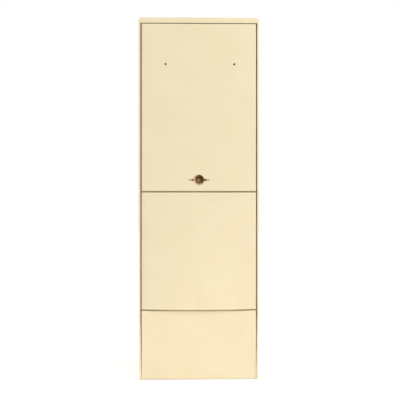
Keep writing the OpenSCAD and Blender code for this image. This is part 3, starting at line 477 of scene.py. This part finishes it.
def turnRound(profile, steps):
    # A profile of (radius, distance along the axis) swung once round the axis:
    # (radius cos angle, radius sin angle, along)
    angle = np.linspace(0, 2 * np.pi, steps, endpoint=False)[:, None]
    radius, along = np.asarray(profile, float).T
    return np.stack([radius * np.cos(angle), radius * np.sin(angle), along + 0 * angle], axis=-1)


def placeCopies(shape, spots, way):
    # Copies of a shape at each spot; way gives the three directions that its two cross axes and its
    # own axis take in the frame
    return np.asarray(spots, float)[:, None, None, :] + (shape @ np.asarray(way, float))[None]


towardsBack = [(1, 0, 0), (0, 0, 1), (0, 1, 0)]
towardsFront = [(1, 0, 0), (0, 0, -1), (0, -1, 0)]
upwards = [(1, 0, 0), (0, 1, 0), (0, 0, 1)]
downwards = [(1, 0, 0), (0, -1, 0), (0, 0, -1)]


def boxMm(node):  # lowest and highest corners of a CAD node, in millimetres
    return np.array(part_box(node)) / mm


def middle(node, axis):  # middle of a CAD node's box along one axis
    return boxMm(node)[:, axis].mean()


def rows(node, axis, inset, count):  # even places from an inset within a node's ends, or its middle for one
    low, high = boxMm(node)[:, axis]
    if count == 1:
        return [middle(node, axis)]
    return np.linspace(low + inset, high - inset, count)


panelPlan = {"node": "lower_panel", "sharpDeg": 12}


def smoothPanel(plan):
    # The bowed panel's own solid with its loose triangles joined at their shared corners: shading then
    # runs evenly over the bow instead of breaking at each flat, and true edges stay sharp
    mesh = nodes[plan["node"]].data.copy()
    mesh.name = "lowerPanel"
    mergePoints(mesh, False)
    addPiece("lowerPanel", mesh, "cabinet", plan["node"], plan["sharpDeg"])


smoothPanel(panelPlan)

largeHead, smallHead = (9.5, 3.0), (7.6, 2.4)  # mm: width and height
screwSets = {  # mm: shank width and length, places across the cabinet, and rows of them
    "boardScrews": {
        "node": "board_screws", "way": towardsBack, "head": largeHead, "shank": (5.0, 17.0),
        "across": (-129, 129), "rows": 3,
    },
    "deviceRailScrews": {
        "node": "device_rail_screws", "way": towardsBack, "head": smallHead, "shank": (4.0, 9.4),
        "across": (-80, 80), "rows": 1,
    },
    "fuseBaseScrews": {
        "node": "fuse_base_screws", "way": towardsBack, "head": largeHead, "shank": (5.0, 15.0),
        "across": (-105, 105), "rows": 2,
    },
    "terminalBaseScrews": {
        "node": "terminal_base_screws", "way": towardsBack, "head": largeHead, "shank": (5.0, 15.0),
        "across": (-122, 122), "rows": 1,
    },
    "earthScrews": {
        "node": "earth_screws", "way": towardsBack, "head": largeHead, "shank": (5.0, 10.0),
        "across": (-70, -55, -27.5, 0, 27.5, 55, 70), "rows": 1,
    },
    "crossbarScrews": {
        "node": "crossbar_screws", "way": towardsFront, "head": largeHead, "shank": (5.0, 6.5),
        "across": rows("crossbar_screws", 0, largeHead[0] / 2, 2), "rows": 1,
    },
    "cableRailScrews": {
        "node": "cable_rail_screws", "way": downwards, "head": largeHead, "shank": (5.0, 8.5),
        "across": (-161.5, 161.5), "rows": 1,
    },
}
screwForm = {  # shares of the head's width, its height or the recess's own size, and the tip in mm
    "edgeRadius": 0.04, "edgeHeight": 0.62, "domeRise": 0.22, "underside": 0.12, "tipMm": 0.5,
    "recessReach": 0.33, "recessArm": 0.075, "recessDepth": 0.62, "recessTop": 0.7,
    "armEnd": 1.15, "wallFoot": 1.1, "wallSlope": 2, "sharpDeg": 30,
}


def headSeats(plan):
    # The seat under each head: a head's height in from that end of the set's box where the heads are,
    # at each place across and in each row
    width, height = plan["head"]
    heading = np.array(plan["way"][2])
    axis = np.abs(heading).argmax()
    rowAxis = 3 - axis  # of the axes y and z, the one that the screws don't run along
    low, high = boxMm(plan["node"])[:, axis]
    across, row = np.meshgrid(
        plan["across"], rows(plan["node"], rowAxis, width / 2, plan["rows"]), indexing="ij",
    )
    seats = np.empty((across.size, 3))
    seats[:, 0] = across.ravel()
    seats[:, rowAxis] = row.ravel()
    seats[:, axis] = low + height if heading[axis] > 0 else high - height
    return seats


def panScrew(head, shank, form, steps=48):
    # A turned profile (domed head, shank, flat tip) with a cross recess pressed into its dome: the
    # depth falls away from the middle along two arms, |x| or |y| under half the arm's width
    width, height = head
    radius, length = shank[0] / 2, shank[1]
    crown = width / 2 - form["edgeRadius"] * width
    out = np.linspace(0, crown, 15)
    dome = np.column_stack([out, -height + form["domeRise"] * height * (out / crown) ** 2])
    turn = np.radians(np.linspace(-80, 10, 5))  # from the dome round to just past the side
    edge = form["edgeRadius"] * width * np.column_stack([np.cos(turn), np.sin(turn)])
    edge += (crown, -form["edgeHeight"] * height)
    under, tip = form["underside"] * height, form["tipMm"]
    lower = [(width / 2, -under), (width / 2 - under, 0), (radius, 0)]
    lower += [(radius, length - tip), (radius - tip, length), (0, length)]
    shape = turnRound(np.vstack([dome, edge, lower]), steps)
    x, y, along = np.moveaxis(shape, -1, 0)
    reach = np.hypot(x, y) / (form["recessReach"] * width)
    arm = np.minimum(np.abs(x), np.abs(y)) / (form["recessArm"] * width)
    floor = np.sqrt(np.clip(form["armEnd"] - reach, 0, 1))
    wall = np.clip(form["wallSlope"] * (form["wallFoot"] - arm), 0, 1)
    depth = form["recessDepth"] * height * floor * wall
    shape[..., 2] = along + np.where(along < -form["recessTop"] * height, depth, 0)
    return shape


for name, plan in screwSets.items():
    screws = placeCopies(panScrew(plan["head"], plan["shank"], screwForm), headSeats(plan), plan["way"])
    layGrids(
        name, [screws], "zinc_plated_steel", "cabinet", plan["node"], screwForm["sharpDeg"],
    )

studPlan = {  # mm, but for the share of the radius that is left at the ends
    "node": "terminal_studs", "width": 10.0, "length": 40.0, "across": (-84, -28, 28, 84), "rows": 2,
    "pitch": 1.5, "threadDepth": 0.7, "endShare": 0.75, "chamfer": 0.75, "pointsPerPitch": 6, "sharpDeg": 60,
}


def threadedStud(plan, steps=20):
    # A rod whose radius drops by the thread's depth in a triangle wave of (distance / pitch - angle / turn),
    # which winds the groove round it; both ends taper to a chamfer and close on the axis
    length, pitch = plan["length"], plan["pitch"]
    along = np.linspace(0, length, int(length / pitch * plan["pointsPerPitch"]) + 1)
    angle = np.linspace(0, 2 * np.pi, steps, endpoint=False)[:, None]
    wave = np.abs(2 * np.mod(along / pitch - angle / (2 * np.pi), 1) - 1)
    fromEnd = np.minimum(along, length - along) / plan["chamfer"]
    taper = np.minimum(1, plan["endShare"] + (1 - plan["endShare"]) * fromEnd)
    radius = (plan["width"] / 2 - plan["threadDepth"] * wave) * taper
    rod = np.stack([radius * np.cos(angle), radius * np.sin(angle), along + 0 * angle], axis=-1)
    end = np.zeros((steps, 1, 3))
    return np.concatenate([end, rod, end + (0, 0, length)], axis=1)


studRows = rows(studPlan["node"], 2, studPlan["width"] / 2, studPlan["rows"])
studFront = boxMm(studPlan["node"])[0, 1]
studSpots = [(x, studFront, z) for x in studPlan["across"] for z in studRows]
studs = placeCopies(threadedStud(studPlan), studSpots, towardsBack)
layGrids(
    "terminalStuds", [studs], "zinc_plated_steel", "cabinet",
    studPlan["node"], studPlan["sharpDeg"],
)

frameNutCorners = 14.8
frameNutRows = rows("frame_nuts", 1, frameNutCorners / 2 * np.cos(np.pi / 6), 2)
nutSets = {  # mm: width over the corners, thickness, bore
    "terminalNuts": {
        "node": "terminal_nuts", "finish": "machined_brass", "slot": "brass", "way": towardsBack,
        "corners": 19.5, "thick": 8.0, "bore": 10.2,
        "spots": [(x, middle("terminal_nuts", 1), z) for x in studPlan["across"] for z in studRows],
    },
    "frameNuts": {
        "node": "frame_nuts", "finish": "zinc_plated_steel", "slot": "zinc_plate", "way": upwards,
        "corners": frameNutCorners, "thick": 6.4, "bore": 8.2,
        "spots": [(x, y, middle("frame_nuts", 2)) for x in (-155.5, 155.5) for y in frameNutRows],
    },
}
nutForm = {"faceShare": 0.96, "boreChamferMm": 0.6, "sharpDeg": 25}


def hexNut(plan, form, steps=48):
    # A bored hexagon: its side lies at half its width over the flats / cos(angle from the side's middle).
    # The faces fall away at 30 degrees outside a circle just inside the flats, so that the chamfer
    # meets the sides in the usual arcs
    angle = np.linspace(0, 2 * np.pi, steps, endpoint=False)
    flats = plan["corners"] / 2 * np.cos(np.pi / 6)
    upperRightShade = flats / np.cos(np.mod(angle, np.pi / 3) - np.pi / 6)
    face = flats * form["faceShare"]
    fall = (upperRightShade - face) * np.tan(np.pi / 6)
    half, bore, chamfer = plan["thick"] / 2, plan["bore"] / 2, form["boreChamferMm"]
    mouth = bore + chamfer
    radius = np.stack(np.broadcast_arrays(bore, mouth, face, upperRightShade, upperRightShade, face, mouth, bore, bore), axis=1)
    along = np.stack(np.broadcast_arrays(
        chamfer - half, -half, -half, fall - half, half - fall, half, half, half - chamfer, chamfer - half,
    ), axis=1)
    return np.stack([radius * np.cos(angle)[:, None], radius * np.sin(angle)[:, None], along], axis=-1)


for name, plan in nutSets.items():
    nuts = placeCopies(hexNut(plan, nutForm), plan["spots"], plan["way"])
    layGrids(name, [nuts], plan["finish"], "cabinet", plan["node"], nutForm["sharpDeg"])

pinPlan = {  # mm: depths below the door's face, down to the pit's floor, and reach from the lock's axis
    "width": 6.0, "top": 3.2, "dome": 1.0, "foot": 8.8, "reach": 18.15, "sharpDeg": 35,
}


def sealPin(plan, steps=32):
    # Turned pin: a domed top, a straight side and a flat foot on the floor of its pit
    radius, foot = plan["width"] / 2, plan["foot"]
    turn = np.linspace(0, np.pi / 2, 8)
    dome = np.column_stack([radius * np.sin(turn), plan["top"] + plan["dome"] * (1 - np.cos(turn))])
    return turnRound(np.vstack([dome, [(radius, foot), (0, foot)]]), steps)


pinSpots = [(x, doorFace / mm, middle("lock_cup", 2)) for x in (-pinPlan["reach"], pinPlan["reach"])]
pins = placeCopies(sealPin(pinPlan), pinSpots, towardsBack)
layGrids("sealPins", [pins], "turned_bronze", "door", None, pinPlan["sharpDeg"])

linkPlan = {  # mm, but for the dimple's edges and the groove's place, which are shares of the cap
    "width": 22.0, "length": 58.0, "capLength": 14.0, "rim": 1.2, "mouthBevel": (0.25, 0.2),
    "grooveAt": 0.72, "grooveDepth": 0.45, "grooveWidth": 0.9, "dimple": (0.42, 0.48), "dimpleDepth": 0.35,
    "waist": 21.0, "waistFall": 0.25, "barrelInCap": 1.0, "boreInset": 0.4, "sharpDeg": 50,
}


def linkCap(plan, steps=40):
    # Turned cup: end face with a shallow dimple, round rim, straight skirt with a rolled groove (a bell
    # curve of the distance along it) near its mouth, hollow inside
    radius, mouth, wall = plan["width"] / 2, plan["capLength"], plan["rim"]
    inner, outer = (share * radius for share in plan["dimple"])
    end = [(0, plan["dimpleDepth"]), (inner, plan["dimpleDepth"]), (outer, 0), (radius - wall, 0)]
    turn = np.linspace(0.2, np.pi / 2, 6)  # the end face already has the arc's first point
    rim = np.column_stack([radius - wall + wall * np.sin(turn), wall - wall * np.cos(turn)])
    inset, drop = plan["mouthBevel"]
    along = np.linspace(wall, mouth - drop, 24)
    bell = np.exp(-((along - plan["grooveAt"] * mouth) / plan["grooveWidth"]) ** 2)
    skirt = np.column_stack([radius - plan["grooveDepth"] * bell, along])
    bore = plan["waist"] / 2 - plan["boreInset"]
    hollow = [(radius - inset, mouth), (bore, mouth), (bore, wall), (0, wall)]
    return turnRound(np.vstack([end, rim, skirt, hollow]), steps)


def linkBarrel(plan, steps=40):
    # Turned rod whose ends sit in the caps: its radius falls with the square of the distance from its middle
    half = plan["length"] / 2
    start = plan["capLength"] - plan["barrelInCap"]
    along = np.linspace(start, plan["length"] - start, 16)
    upperRightShade = np.column_stack([plan["waist"] / 2 - plan["waistFall"] * ((along - half) / half) ** 2, along])
    return turnRound(np.vstack([[(0, along[0])], upperRightShade, [(0, along[-1])]]), steps)


links = [  # body, node, x in mm, barrel finish and slot
    ("carrier_1", "fuse_link_1", -69, "fired_steatite", "fuse_ceramic"),
    ("carrier_2", "fuse_link_2", -23, "fired_steatite", "fuse_ceramic"),
    ("carrier_3", "fuse_link_3", 23, "fired_steatite", "fuse_ceramic"),
    ("carrier_neutral", "neutral_link", 69, "nickelled_brass", "brass"),
]
linkDepth = middle("fuse_link_1", 1)
linkFoot = middle("fuse_link_1", 2) - linkPlan["length"] / 2
linkTop = linkFoot + linkPlan["length"]
for body, node, x, finish, slot in links:
    lowCap = placeCopies(linkCap(linkPlan), [(x, linkDepth, linkFoot)], upwards)
    highCap = placeCopies(linkCap(linkPlan), [(x, linkDepth, linkTop)], downwards)
    barrel = placeCopies(linkBarrel(linkPlan), [(x, linkDepth, linkFoot)], upwards)
    sharpDeg = linkPlan["sharpDeg"]
    layGrids(node + "_caps", [lowCap, highCap], "nickelled_brass", body, None, sharpDeg)
    layGrids(node + "_barrel", [barrel], finish, body, node, sharpDeg)
print("small turned pieces made")

stage = {  # metres, and strengths at which 1 is white
    "floorHalf": 9.0, "floor": "#f2f2f2", "glowReach": (0.5, 1.6), "glow": (0.365, 1.0), "worldLight": 0.66,
}

half = stage["floorHalf"]
floorMesh = bpy.data.meshes.new("floor")
corners = [(-half, -half, 0), (half, -half, 0), (half, half, 0), (-half, half, 0)]
floorMesh.from_pydata(corners, [], [(0, 1, 2, 3)])
floor = bpy.data.objects.new("floor", floorMesh)
scene.collection.objects.link(floor)


def addSeen(tree):  # 1 on rays that show a surface or the world to the eye, straight or by a reflection
    path = addNode(tree, "ShaderNodeLightPath").outputs
    seen = path["Is Camera Ray"]
    for ray in ("Is Glossy Ray", "Is Transmission Ray"):
        seen = addNode(tree, "ShaderNodeMath", {"operation": "MAXIMUM"}, {0: seen, 1: path[ray]}).outputs[0]
    return seen


def studioFloor(look):
    # Matt white studio floor: near the cabinet it keeps the soft shadow, and further off it
    # reaches the white of the background
    material, tree, shader, place = startMaterial("studio_floor", {
        "Base Color": linearColour(look["floor"]), "Roughness": 0.9, "Specular IOR Level": 0.1,
        "Emission Color": (1, 1, 1, 1),
    })
    reach = addNode(tree, "ShaderNodeVectorMath", {"operation": "LENGTH"}, {0: place})
    near, far = look["glowReach"]
    low, high = look["glow"]
    glow = addNode(
        tree, "ShaderNodeMapRange",
        {"From Min": near, "From Max": far, "To Min": low, "To Max": high}, {"Value": reach.outputs["Value"]},
    )
    shown = addNode(
        tree, "ShaderNodeMath", {"operation": "MULTIPLY"}, {0: glow.outputs["Result"], 1: addSeen(tree)},
    )
    tree.links.new(shown.outputs[0], shader.inputs["Emission Strength"])
    return material


floorMesh.materials.append(studioFloor(stage))

world = bpy.data.worlds.new("studio_white")
world.use_nodes = True
scene.world = world
sky = world.node_tree
sky.nodes.clear()
level = addNode(
    sky, "ShaderNodeMapRange", {"To Min": stage["worldLight"], "To Max": 1.0}, {"Value": addSeen(sky)},
)
white = addNode(sky, "ShaderNodeBackground", {"Color": (1, 1, 1, 1)}, {"Strength": level.outputs["Result"]})
addNode(sky, "ShaderNodeOutputWorld", None, {"Surface": white.outputs["Background"]})

softboxes = {  # place and aim in metres, size in metres, watts, width of the beam in degrees
    "keyBox": ((1.5, -1.9, 2.3), (0.05, -0.1, 0.7), 1.4, 34, 180),
    "baseBox": ((0.5, -2.2, 1.5), (0.02, -0.1, 0.0), 0.7, 0.25, 40),
    "footBox": ((-0.3, -2.4, 0.2), (0, -0.1, -0.15), 0.6, 0.2, 28),
    "backBox": ((-1.6, 2.6, 2.4), (0, 0.1, 0.5), 2.6, 16, 180),
}
for name, (spot, aim, size, watts, beam) in softboxes.items():
    lamp = bpy.data.lights.new(name, "AREA")
    lamp.shape = "SQUARE"
    lamp.size = size
    lamp.energy = watts
    lamp.spread = np.radians(beam)
    box = bpy.data.objects.new(name, lamp)
    box.location = spot
    box.rotation_euler = (Vector(aim) - Vector(spot)).to_track_quat("-Z", "Y").to_euler()
    box.visible_glossy = name != "keyBox"  # its mirror image would burn out the roof seen from behind
    scene.collection.objects.link(box)

shot = {  # metres; framed is what the picture takes in across the door's plane
    "eye": (-0.035, -2.102, 0.5228), "aim": (0.0032, -0.102, 0.5228), "framed": 1.1635, "sensorMm": 36,
}

camera = bpy.data.objects.new("camera", bpy.data.cameras.new("camera"))
sight = Vector(shot["aim"]) - Vector(shot["eye"])
camera.location = shot["eye"]
camera.rotation_euler = sight.to_track_quat("-Z", "Y").to_euler()
camera.data.sensor_width = shot["sensorMm"]
camera.data.lens = shot["sensorMm"] * sight.length / shot["framed"]
camera.data.clip_start = 0.02
scene.collection.objects.link(camera)
scene.camera = camera
scene.view_settings.view_transform = "Standard"
print("stage, lamps and camera set")
